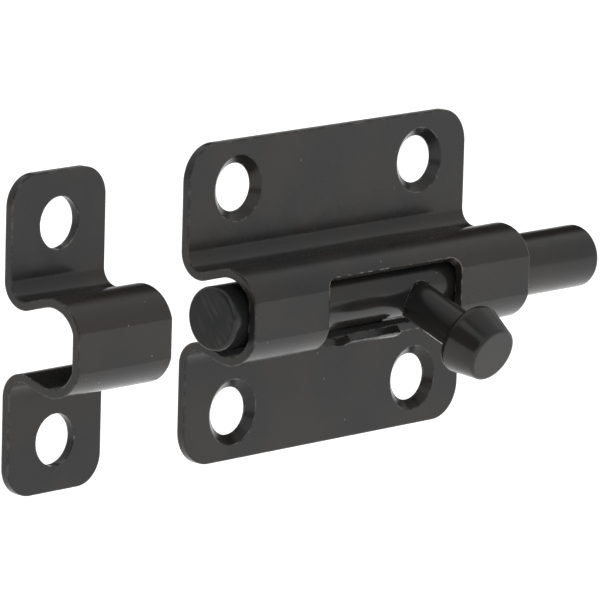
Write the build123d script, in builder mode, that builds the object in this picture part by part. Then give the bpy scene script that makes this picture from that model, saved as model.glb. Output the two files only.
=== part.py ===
"""Surface barrel bolt with its keeper: a round rod in a pressed sheet case, turned and slid by a knob.

Frame: millimetres, +Z up, the door's surface is the plane Y = 0 and the front faces -Y.
X runs along the rod, from the keeper side (-X) to the tail (+X).
The origin is the centre of the case's screw pattern, on the back face of its plate.
"""

from build123d import *
from math import asin, atan2, cos, radians, sin, tan
import os

# Sheet metal shared by the case and the keeper
sheet = 1.1
bend_radius = 2.1
edge_break = 0.15

# Rod
rod_diameter = 8.0
rod_length = 67.2
rod_nose_stickout = 2.3
rod_end_round = 0.5

# Room round the rod inside the barrel
rod_front_clearance = 0.15
rod_side_clearance = 0.9
rod_back_gap = 3.45
shoulder_rise = 1.05
crease_angle = 16.0
wall_lean = 16.0

# Case plate
case_length = 50.0
case_height = 40.0
case_corner_radius = 4.5
case_hole_spacing_x = 32.8
case_hole_spacing_z = 28.0
case_hole_radius = 3.0
countersink_angle = 100.0
countersink_land = 0.15

# Keeper
keeper_length = 15.6
keeper_height = 39.1
keeper_corner_radius = 3.8
keeper_gap = 14.3
keeper_hole_spacing_z = 26.4
keeper_hole_radius = 3.2

# Knob, measured along its own axis from the rod's axis
knob_offset = 6.05
stem_radius = 2.55
shank_radius = 2.0
seat_depth = 0.95
shank_length = 5.2
head_start = 12.4
head_length = 5.0
head_shoulder_radius = 3.5
head_rim_radius = 4.6
head_rim_height = 1.0
head_end_radius = 3.5
head_end_round = 0.45
stem_fit = 0.02
hole_bottom_room = 0.4

# Travel of the knob in the case's window
throw = 15.2
retract = 3.4
end_play = 0.2
locked_play = 0.55
lip_clearance = 0.16
window_top_angle = 33.5
lip_angle = 50.5
notch_reach = 0.25
window_corner_radius = 1.6
notch_corner_radius = 1.5
lip_corner_radius = 0.5

# Friction clip round the rod
clip_offset = 18.0
clip_width = 3.0
clip_thickness = 0.4
clip_fit = 0.05
clip_groove_play = 0.1
clip_wall_clearance = 0.08
clip_leg_length = 3.0
groove_depth = 0.5

# Values that follow from the sizes above
rod_radius = rod_diameter / 2
rod_y = -(rod_back_gap + rod_radius)
rod_nose_x = -(case_length / 2 + rod_nose_stickout)
barrel_half_height = rod_radius + rod_side_clearance + sheet
barrel_depth = rod_back_gap + rod_diameter + rod_front_clearance + sheet
shoulder_radius = barrel_half_height - shoulder_rise
shoulder_y = shoulder_radius * cos(radians(crease_angle)) - barrel_depth
bend_y = -(sheet + bend_radius)
bend_z = shoulder_rise + (
    shoulder_radius + bend_radius - sin(radians(wall_lean)) * (bend_y - shoulder_y)
) / cos(radians(wall_lean))

countersink_depth = sheet - countersink_land
countersink_radius = case_hole_radius + countersink_depth * tan(radians(countersink_angle / 2))

window_left = knob_offset - throw - stem_radius - end_play
window_right = knob_offset + retract + stem_radius + end_play
lip_left = knob_offset - throw + stem_radius + locked_play
lip_right = knob_offset - stem_radius - end_play
notch_end_y = rod_y + notch_reach
beyond = 2 * barrel_depth

groove_width = clip_width + 2 * clip_groove_play
groove_radius = rod_radius - groove_depth
clip_radius = groove_radius + clip_fit + clip_thickness / 2
clip_leg_reach = shoulder_radius - sheet - clip_wall_clearance - clip_thickness / 2
clip_hairpin_radius = (
    clip_leg_reach
    - sin(radians(wall_lean)) * (rod_y - shoulder_y)
    - cos(radians(wall_lean)) * (clip_radius - shoulder_rise)
) / (1 + cos(radians(wall_lean)))
seat_height = rod_radius - seat_depth

keeper_x = -(case_length / 2 + keeper_gap + keeper_length / 2)

# Points and directions of the pressed section, on a plane across X
bend_centre = Vector(bend_y, bend_z)
shoulder_centre = Vector(shoulder_y, shoulder_rise)
wall_normal = Vector(sin(radians(wall_lean)), cos(radians(wall_lean)))

# The knob rests just high enough to pass the lip's inner edge
lip_reach = shoulder_radius - sheet
lip_edge = Vector(
    rod_y - shoulder_y + lip_reach * cos(radians(lip_angle)),
    shoulder_rise + lip_reach * sin(radians(lip_angle)),
)
knob_droop = atan2(lip_edge.Y, lip_edge.X) - asin((stem_radius + lip_clearance) / lip_edge.length)

stem_direction = Vector(0, -cos(knob_droop), -sin(knob_droop))
stem_plane = Plane(origin=(knob_offset, rod_y, 0), x_dir=(1, 0, 0), z_dir=stem_direction)
stem_axis = Axis((knob_offset, rod_y, 0), stem_direction)
profile_plane = Plane(
    origin=(knob_offset, rod_y, 0),
    x_dir=(1, 0, 0),
    z_dir=Vector(1, 0, 0).cross(stem_direction),
)


def pressed_section(height, start_x):
    """Section of a flat strap pressed into a barrel that is open at the back, on a plane across X."""
    with BuildSketch(Plane.YZ.offset(start_x)) as section:
        with BuildLine():
            flange = Line((-sheet, height / 2), (-sheet, bend_z))
            bend = JernArc(flange @ 1, flange % 1, bend_radius, -(90 + wall_lean))
            wall = Line(bend @ 1, shoulder_centre + wall_normal * shoulder_radius)
            shoulder = JernArc(wall @ 1, wall % 1, shoulder_radius, 90 + wall_lean - crease_angle)
            Line(shoulder @ 1, ((shoulder @ 1).X, 0))
            mirror(about=Plane.XZ)
            offset(amount=sheet, side=Side.LEFT)
        make_face()
    return section.sketch


def front_ray(angle, side):
    """Direction across the barrel's shoulder, angle degrees above (side 1) or below (side -1) the front."""
    return Vector(0, -cos(radians(angle)), side * sin(radians(angle)))


def outer_edges(edges):
    """Those of the edges that lie on the front skin of a pressed strap."""
    return ShapeList([edge for edge in edges if on_front_skin(edge @ 0.5)])


def on_front_skin(point):
    """Whether a point lies on the front skin of the pressed section, off its back by the sheet."""
    height = abs(point.Z)
    across = Vector(point.Y, height)
    distances = (
        abs(point.Y + sheet) if height >= bend_z else beyond,
        abs((across - bend_centre).length - bend_radius) if point.Y >= bend_y else beyond,
        abs((across - shoulder_centre).dot(wall_normal) - shoulder_radius),
        abs((across - shoulder_centre).length - shoulder_radius),
        abs(point.Y + barrel_depth),
    )
    return min(distances) < edge_break / 2


# Case plate, with its window, the two notches and the lip between them
top_ray = front_ray(window_top_angle, 1)
lip_ray = front_ray(lip_angle, -1)
top_centre = Vector(0, shoulder_y, shoulder_rise)
lip_centre = Vector(0, shoulder_y, -shoulder_rise)
window_outline = [
    (point.Y, point.Z)
    for point in (top_centre, top_centre + top_ray * beyond, lip_centre + lip_ray * beyond, lip_centre)
]

with BuildPart() as case_plate:
    extrude(pressed_section(case_height, -case_length / 2), amount=case_length)
    fillet(
        case_plate.edges().filter_by(Axis.Y).group_by(SortBy.LENGTH)[0],
        radius=case_corner_radius,
    )
    with BuildSketch(Plane.YZ.offset(window_left)):
        with BuildLine():
            Polyline(*window_outline, close=True)
        make_face()
    extrude(amount=window_right - window_left, mode=Mode.SUBTRACT)
    with BuildSketch(Plane.XY) as notches:
        for notch_left, notch_right in ((window_left, lip_left), (lip_right, window_right)):
            with BuildLine():
                Polyline(
                    (notch_left, notch_end_y),
                    (notch_right, notch_end_y),
                    (notch_right, -beyond),
                    (notch_left, -beyond),
                    close=True,
                )
            make_face()
        fillet(notches.vertices().group_by(Axis.Y)[-1], radius=notch_corner_radius)
    extrude(amount=-beyond, mode=Mode.SUBTRACT)
    fillet(
        case_plate.edges().filter_by(Axis((0, 0, 0), top_ray)),
        radius=window_corner_radius,
    )
    fillet(
        case_plate.edges().filter_by(Axis((0, 0, 0), lip_ray)),
        radius=lip_corner_radius,
    )
    with Locations(Plane(origin=(0, -sheet, 0), x_dir=(1, 0, 0), z_dir=(0, -1, 0))):
        with GridLocations(case_hole_spacing_x, case_hole_spacing_z, 2, 2):
            CounterSinkHole(case_hole_radius, countersink_radius, counter_sink_angle=countersink_angle)
    outline = case_plate.faces().filter_by(Axis.X).sort_by(Axis.X)
    fillet(
        outer_edges(ShapeList([outline[0], outline[-1]]).edges()),
        radius=edge_break,
    )
case_plate.part.label = "case_plate"


# Keeper, a short piece of the same section
with BuildPart() as keeper:
    extrude(
        pressed_section(keeper_height, keeper_x - keeper_length / 2),
        amount=keeper_length,
    )
    fillet(
        keeper.edges().filter_by(Axis.Y).group_by(SortBy.LENGTH)[0],
        radius=keeper_corner_radius,
    )
    with Locations(Plane(origin=(keeper_x, -sheet, 0), x_dir=(1, 0, 0), z_dir=(0, -1, 0))):
        with GridLocations(keeper_length, keeper_hole_spacing_z, 1, 2):
            Hole(keeper_hole_radius)
    outline = keeper.faces().filter_by(Axis.X).sort_by(Axis.X)
    fillet(
        outer_edges(ShapeList([outline[0], outline[-1]]).edges()),
        radius=edge_break,
    )
keeper.part.label = "keeper"


# Rod, with the clip's groove and the tapped hole that the knob screws into
with BuildPart() as bolt_rod:
    with BuildSketch(Plane.YZ.offset(rod_nose_x)):
        with Locations((rod_y, 0)):
            Circle(rod_radius)
    extrude(amount=rod_length)
    fillet(bolt_rod.edges().filter_by(GeomType.CIRCLE), radius=rod_end_round)
    with BuildSketch(Plane.YZ.offset(clip_offset - groove_width / 2)):
        with Locations((rod_y, 0)):
            Circle(rod_radius)
            Circle(groove_radius, mode=Mode.SUBTRACT)
    extrude(amount=groove_width, mode=Mode.SUBTRACT)
    with Locations(stem_plane.offset(rod_radius)):
        CounterBoreHole(
            radius=shank_radius + stem_fit,
            counter_bore_radius=stem_radius + stem_fit,
            counter_bore_depth=seat_depth,
            depth=seat_depth + shank_length + hole_bottom_room,
        )
bolt_rod.part.label = "bolt_rod"


# Knob, turned in one piece: threaded shank, stem and tapered head
with BuildPart() as knob:
    with BuildSketch(profile_plane) as knob_profile:
        with BuildLine():
            Polyline(
                (0, seat_height - shank_length),
                (shank_radius, seat_height - shank_length),
                (shank_radius, seat_height),
                (stem_radius, seat_height),
                (stem_radius, head_start),
                (head_shoulder_radius, head_start),
            )
            rim = Spline(
                (head_shoulder_radius, head_start),
                (head_rim_radius, head_start + head_rim_height),
                tangents=((1, 0), (0, 1)),
            )
            Polyline(
                rim @ 1,
                (head_end_radius, head_start + head_length),
                (0, head_start + head_length),
                (0, seat_height - shank_length),
            )
        make_face()
    revolve(axis=stem_axis)
    fillet(knob.edges().group_by(stem_axis)[-1], radius=head_end_round)
knob.part.label = "knob"


# Friction clip: a spring strip round the back of the rod, whose two legs rub on the barrel's walls
with BuildPart() as friction_clip:
    with BuildSketch(Plane.YZ.offset(clip_offset - clip_width / 2)):
        with BuildLine():
            saddle = CenterArc((rod_y, 0), clip_radius, 0, 90)
            hairpin = JernArc(saddle @ 1, saddle % 1, clip_hairpin_radius, -(180 + wall_lean))
            Line(hairpin @ 1, hairpin @ 1 + hairpin % 1 * clip_leg_length)
            mirror(about=Plane.XZ)
            offset(amount=clip_thickness / 2, side=Side.BOTH)
        make_face()
    extrude(amount=clip_width)
friction_clip.part.label = "friction_clip"

os.makedirs("parts", exist_ok=True)
for piece in (case_plate, keeper, bolt_rod, knob, friction_clip):
    export_step(piece.part, f"parts/{piece.part.label}.step")
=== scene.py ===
"""Studio scene of a black barrel bolt and its keeper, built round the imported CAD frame.

Metres, in the CAD frame: +Z up, the door's surface is Y = 0, the front faces -Y, X runs along the rod.
"""

from math import cos, radians, sin

import bpy
from mathutils import Matrix, Vector


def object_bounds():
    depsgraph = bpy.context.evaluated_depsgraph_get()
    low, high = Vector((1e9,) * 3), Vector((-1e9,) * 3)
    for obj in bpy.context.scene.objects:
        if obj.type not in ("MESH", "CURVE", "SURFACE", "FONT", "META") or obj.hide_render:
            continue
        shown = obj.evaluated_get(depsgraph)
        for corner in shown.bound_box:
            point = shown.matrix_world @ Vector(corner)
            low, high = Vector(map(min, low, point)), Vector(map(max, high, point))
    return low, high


MM = 0.001

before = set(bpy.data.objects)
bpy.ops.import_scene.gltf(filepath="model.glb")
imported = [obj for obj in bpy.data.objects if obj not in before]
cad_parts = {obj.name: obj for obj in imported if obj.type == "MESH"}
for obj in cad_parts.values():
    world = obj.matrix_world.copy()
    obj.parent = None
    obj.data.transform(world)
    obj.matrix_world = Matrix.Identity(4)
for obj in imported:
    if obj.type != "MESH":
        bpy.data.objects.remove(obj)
cad_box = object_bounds()


# ---------------------------------------------------------------- shader helpers

def new_material(name):
    """A node material with only an output and a Principled shader. Returns the material and the shader."""
    material = bpy.data.materials.new(name)
    material.use_nodes = True
    nodes = material.node_tree.nodes
    nodes.clear()
    output = nodes.new("ShaderNodeOutputMaterial")
    shader = nodes.new("ShaderNodeBsdfPrincipled")
    material.node_tree.links.new(shader.outputs["BSDF"], output.inputs["Surface"])
    return material, shader


def add(material, kind, inputs=None, **settings):
    """Adds a node. An input is a number, a colour, or another node's output socket."""
    node = material.node_tree.nodes.new("ShaderNode" + kind)
    for key, value in settings.items():
        setattr(node, key, value)
    for key, value in (inputs or {}).items():
        feed(material, node.inputs[key], value)
    return node


def feed(material, socket, value):
    """Links an output to a socket, or sets the socket's own value."""
    if isinstance(value, bpy.types.NodeSocket):
        material.node_tree.links.new(value, socket)
    else:
        socket.default_value = value


def math(material, operation, first, second=0.0, clamp=False):
    """One arithmetic step on two numbers or outputs."""
    node = add(material, "Math", {0: first, 1: second}, operation=operation, use_clamp=clamp)
    return node.outputs[0]


def spread(material, value, low, high, to_low=0.0, to_high=1.0):
    """Maps a value from one range to another, without running past either end."""
    names = ("From Min", "From Max", "To Min", "To Max")
    inputs = dict(zip(names, (low, high, to_low, to_high)))
    inputs["Value"] = value
    return add(material, "MapRange", inputs, clamp=True).outputs["Result"]


def noise(material, point, scale, detail=2.0, roughness=0.5):
    """Even fractal noise between about 0.3 and 0.7."""
    inputs = {"Vector": point, "Scale": scale, "Detail": detail, "Roughness": roughness}
    return add(material, "TexNoise", inputs).outputs["Fac"]


def mix_colour(material, amount, first, second):
    """Blends two colours by an amount from 0 to 1."""
    node = add(material, "Mix", data_type="RGBA")
    feed(material, node.inputs["Factor"], amount)
    feed(material, node.inputs["A"], first)
    feed(material, node.inputs["B"], second)
    return node.outputs["Result"]


# ---------------------------------------------------------------- materials

BLACK = (0.0125, 0.0130, 0.0132, 1)
BROWN_BLACK = (0.0215, 0.0180, 0.0150, 1)
# Light grey for the edges: partly paint wear, partly a painted highlight on the cut edges
EDGE_WEAR_AND_HIGHLIGHT = (0.34, 0.32, 0.29, 1)
DUST = (0.30, 0.29, 0.28, 1)
SAWN = (0.10, 0.085, 0.068, 1)
BRIGHT_STEEL = (0.44, 0.43, 0.42, 1)
DULL_STEEL = (0.36, 0.34, 0.31, 1)

# Texture scales, in cells to the metre
TINT_SCALE = 90.0
SPECK_SCALE = 750.0
CHIP_SCALE = 700.0
GRAIN_SCALE = 1500.0
GLOSS_SCALE = 260.0
PEEL_SCALE = 650.0
SAW_SCALE = 5200.0
SAW_PATCH_SCALE = 260.0
ROLLING_SCALE = 6000.0
STAIN_SCALE = 400.0

EDGE_ROUNDING = 0.3 * MM
COAT_RELIEF = 0.04 * MM
STRIP_RELIEF = 0.02 * MM
SPECK_SHARE = 0.07
CUT_END_DULLNESS = 0.55
SAW_TURN = radians(39)


def painted(name, roughness, seed, relief, cut_ends=False):
    """Thin semi-gloss black coat on steel: fine orange peel, soft tint, lighter edges that are partly paint
    wear and partly a painted highlight, a few specks of dust.

    relief is the strength of the peel and grain. cut_ends adds saw marks to the faces across X.
    """
    material, shader = new_material(name)
    place = add(material, "TexCoord").outputs["Object"]
    shift = (seed, seed * 0.7, seed * 0.3)
    point = add(material, "Mapping", {"Vector": place, "Location": shift}).outputs["Vector"]

    cloud = noise(material, point, TINT_SCALE, detail=3.0)
    tint = spread(material, cloud, 0.40, 0.62)
    base = mix_colour(material, tint, BLACK, BROWN_BLACK)

    speck_field = add(material, "TexVoronoi", {"Vector": point, "Scale": SPECK_SCALE}, feature="F1")
    speck_size = spread(material, speck_field.outputs["Distance"], 0.05, 0.10, 1.0, 0.0)
    speck_draw = add(material, "SeparateColor", {"Color": speck_field.outputs["Color"]}).outputs[0]
    speck_chosen = math(material, "GREATER_THAN", speck_draw, 1 - SPECK_SHARE)
    speck = math(material, "MULTIPLY", speck_size, speck_chosen)
    base = mix_colour(material, math(material, "MULTIPLY", speck, 0.5), base, DUST)

    normal = add(material, "NewGeometry").outputs["Normal"]
    soft = add(material, "Bevel", {"Radius": EDGE_ROUNDING}, samples=6).outputs["Normal"]
    turn = add(material, "VectorMath", {0: normal, 1: soft}, operation="DOT_PRODUCT").outputs["Value"]
    # Lighter edges: partly paint wear in patches, partly a painted highlight where light would catch the
    # cut edges
    edge = spread(material, turn, 0.995, 0.86)
    chips = spread(material, noise(material, point, CHIP_SCALE, detail=4.0, roughness=0.7), 0.46, 0.60)
    edge_wear_and_highlight = math(material, "MULTIPLY", math(material, "MULTIPLY", edge, chips), 0.8)
    base = mix_colour(material, edge_wear_and_highlight, base, EDGE_WEAR_AND_HIGHLIGHT)
    if cut_ends:
        marks = saw_marks(material, place, normal)
        base = mix_colour(material, marks, base, SAWN)
    feed(material, shader.inputs["Base Color"], base)

    grain = noise(material, point, GRAIN_SCALE, detail=3.0, roughness=0.6)
    cloudy_gloss = noise(material, point, GLOSS_SCALE, detail=3.0)
    gloss = math(material, "ADD", spread(material, grain, 0.3, 0.7, -0.04, 0.04),
                 spread(material, cloudy_gloss, 0.3, 0.7, roughness - 0.05, roughness + 0.05))
    if cut_ends:
        dullness = math(material, "MULTIPLY", end_mask(material, normal), CUT_END_DULLNESS)
        gloss = math(material, "ADD", gloss, dullness)
    feed(material, shader.inputs["Roughness"], gloss)

    peel = noise(material, point, PEEL_SCALE)
    peel_height = math(material, "MULTIPLY", peel, 0.7)
    grain_height = math(material, "MULTIPLY", grain, 0.3)
    height = math(material, "ADD", peel_height, grain_height)
    height = math(material, "ADD", height, math(material, "MULTIPLY", speck, 0.5))
    if cut_ends:
        height = math(material, "ADD", height, math(material, "MULTIPLY", marks, 0.8))
    relief_inputs = {"Height": height, "Strength": relief, "Distance": COAT_RELIEF, "Normal": soft}
    bump = add(material, "Bump", relief_inputs)
    feed(material, shader.inputs["Normal"], bump.outputs["Normal"])

    shader.inputs["IOR"].default_value = 1.34
    shader.inputs["Coat Weight"].default_value = 0.1
    shader.inputs["Coat Roughness"].default_value = 0.12
    return material


def end_mask(material, normal):
    """1 on the faces across X, 0 on the rest."""
    along_x = {0: normal, 1: (1.0, 0.0, 0.0)}
    facing = add(material, "VectorMath", along_x, operation="DOT_PRODUCT").outputs["Value"]
    return spread(material, math(material, "ABSOLUTE", facing), 0.9, 0.98)


def saw_marks(material, place, normal):
    """Scratches in patches on the faces across X, 0 to 1. They stand upright with the knob fully down."""
    turned = add(material, "VectorRotate", {"Vector": place, "Angle": SAW_TURN}, rotation_type="X_AXIS")
    stretched = add(material, "Mapping", {"Vector": turned.outputs["Vector"], "Scale": (1.0, 1.0, 0.03)})
    scratches = noise(material, stretched.outputs["Vector"], SAW_SCALE, detail=4.0, roughness=0.75)
    patch = spread(material, noise(material, place, SAW_PATCH_SCALE), 0.46, 0.62)
    lines = math(material, "MULTIPLY", spread(material, scratches, 0.48, 0.80), patch)
    return math(material, "MULTIPLY", lines, end_mask(material, normal))


def spring_steel():
    """Plain strip with rolling marks along it."""
    material, shader = new_material("spring_steel")
    place = add(material, "TexCoord").outputs["Object"]
    stretched = add(material, "Mapping", {"Vector": place, "Scale": (1.0, 0.06, 0.06)}).outputs["Vector"]
    marks = noise(material, stretched, ROLLING_SCALE, detail=3.0)
    stain = noise(material, place, STAIN_SCALE)
    base = mix_colour(material, spread(material, stain, 0.35, 0.65), BRIGHT_STEEL, DULL_STEEL)
    feed(material, shader.inputs["Base Color"], base)
    feed(material, shader.inputs["Roughness"], spread(material, marks, 0.3, 0.7, 0.22, 0.42))
    bump = add(material, "Bump", {"Height": marks, "Strength": 0.3, "Distance": STRIP_RELIEF})
    feed(material, shader.inputs["Normal"], bump.outputs["Normal"])
    shader.inputs["Metallic"].default_value = 1.0
    return material


def dress(node, material):
    """Gives a CAD node its finished material, in every slot it has."""
    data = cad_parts[node].data
    for slot in range(len(data.materials)):
        data.materials[slot] = material


pressed_steel = painted("pressed_steel", 0.25, 0.0, 0.15)
dress("case_plate", pressed_steel)
dress("keeper", pressed_steel)
dress("bolt_rod", painted("rod_steel", 0.20, 1.3, 0.12, cut_ends=True))
dress("knob", painted("knob_steel", 0.20, 2.1, 0.12))
dress("friction_clip", spring_steel())


# ---------------------------------------------------------------- camera, floor and light

VIEW_AZIMUTH = radians(-47.2)
VIEW_ELEVATION = radians(10.9)
VIEW_ROLL = radians(1.66)
CAMERA_DISTANCE = 0.7998
CAMERA_LENS = 385.4
AIM_LEFT = 3.35 * MM
AIM_DOWN = 1.92 * MM
SHEET_FRONT_Y = -1.1 * MM

FLOOR_HALF = 6.0
FLOOR_DROP = 70 * MM
FLOOR_GLOW = 0.86

KEY_PLACE = (-0.55, -0.65, 0.6)
KEY_SIZE = 0.9
KEY_POWER = 3.0

# Directions from the object to the darker parts of the studio
DARK_CARD = (0.72, 0.50, 0.47)
DIM_SIDE = (-0.88, -0.42, 0.20)


def add_camera():
    """Camera at the photograph's angle, aimed a little to the left of the case and under its middle."""
    sheet_front = Vector((0, SHEET_FRONT_Y, 0))
    back = Vector((
        sin(VIEW_AZIMUTH) * cos(VIEW_ELEVATION),
        -cos(VIEW_AZIMUTH) * cos(VIEW_ELEVATION),
        sin(VIEW_ELEVATION),
    ))
    right = Vector((cos(VIEW_AZIMUTH), sin(VIEW_AZIMUTH), 0))
    up = back.cross(right)
    rolled_right = cos(VIEW_ROLL) * right + sin(VIEW_ROLL) * up
    rolled_up = cos(VIEW_ROLL) * up - sin(VIEW_ROLL) * right
    place = sheet_front + back * CAMERA_DISTANCE
    aim = sheet_front - rolled_right * AIM_LEFT - rolled_up * AIM_DOWN
    look_back = (place - aim).normalized()
    side = rolled_up.cross(look_back).normalized()
    top = look_back.cross(side)
    data = bpy.data.cameras.new("camera")
    data.lens = CAMERA_LENS
    data.sensor_width = 36.0
    data.clip_start = 0.01
    camera = bpy.data.objects.new("camera", data)
    camera.matrix_world = Matrix((
        (side.x, top.x, look_back.x, place.x),
        (side.y, top.y, look_back.y, place.y),
        (side.z, top.z, look_back.z, place.z),
        (0, 0, 0, 1),
    ))
    bpy.context.scene.collection.objects.link(camera)
    bpy.context.scene.camera = camera


def add_floor():
    """Plain pale floor under the object."""
    material, shader = new_material("floor")
    shader.inputs["Base Color"].default_value = (0.6, 0.6, 0.6, 1)
    shader.inputs["Roughness"].default_value = 0.9
    shader.inputs["Emission Color"].default_value = (1.0, 1.0, 1.0, 1)
    shader.inputs["Emission Strength"].default_value = FLOOR_GLOW
    level = cad_box[0][2] - FLOOR_DROP
    mesh = bpy.data.meshes.new("floor")
    signs = ((-1, -1), (1, -1), (1, 1), (-1, 1))
    corners = [(x * FLOOR_HALF, y * FLOOR_HALF, level) for x, y in signs]
    mesh.from_pydata(corners, [], [(0, 1, 2, 3)])
    mesh.materials.append(material)
    floor = bpy.data.objects.new("floor", mesh)
    bpy.context.scene.collection.objects.link(floor)


def add_light(name, place, size, power):
    """Soft square light that faces the object."""
    data = bpy.data.lights.new(name, "AREA")
    data.shape = "SQUARE"
    data.size = size
    data.energy = power
    light = bpy.data.objects.new(name, data)
    light.location = place
    light.rotation_euler = Vector(place).to_track_quat("Z", "Y").to_euler()
    light.visible_camera = False
    bpy.context.scene.collection.objects.link(light)


def add_world():
    """White backdrop. Reflections also see a dark card, upper back right, and a dim front left side."""
    world = bpy.data.worlds.new("world")
    world.use_nodes = True
    nodes = world.node_tree.nodes
    nodes.clear()
    direction = add(world, "TexCoord").outputs["Generated"]
    card = add(world, "VectorMath", {0: direction, 1: DARK_CARD}, operation="DOT_PRODUCT").outputs["Value"]
    side = add(world, "VectorMath", {0: direction, 1: DIM_SIDE}, operation="DOT_PRODUCT").outputs["Value"]
    card_glow = spread(world, card, 0.89, 0.97, 1.0, 0.03)
    side_glow = spread(world, side, 0.35, 0.75, 0.85, 0.10)
    glow = math(world, "MULTIPLY", card_glow, side_glow)
    seen = add(world, "LightPath").outputs["Is Camera Ray"]
    strength = math(world, "MAXIMUM", glow, seen)
    background = add(world, "Background", {"Color": (1.0, 1.0, 1.0, 1), "Strength": strength})
    output = nodes.new("ShaderNodeOutputWorld")
    world.node_tree.links.new(background.outputs["Background"], output.inputs["Surface"])
    bpy.context.scene.world = world


add_camera()
add_floor()
add_world()
add_light("key", KEY_PLACE, KEY_SIZE, KEY_POWER)

bpy.context.scene.view_settings.view_transform = "Standard"
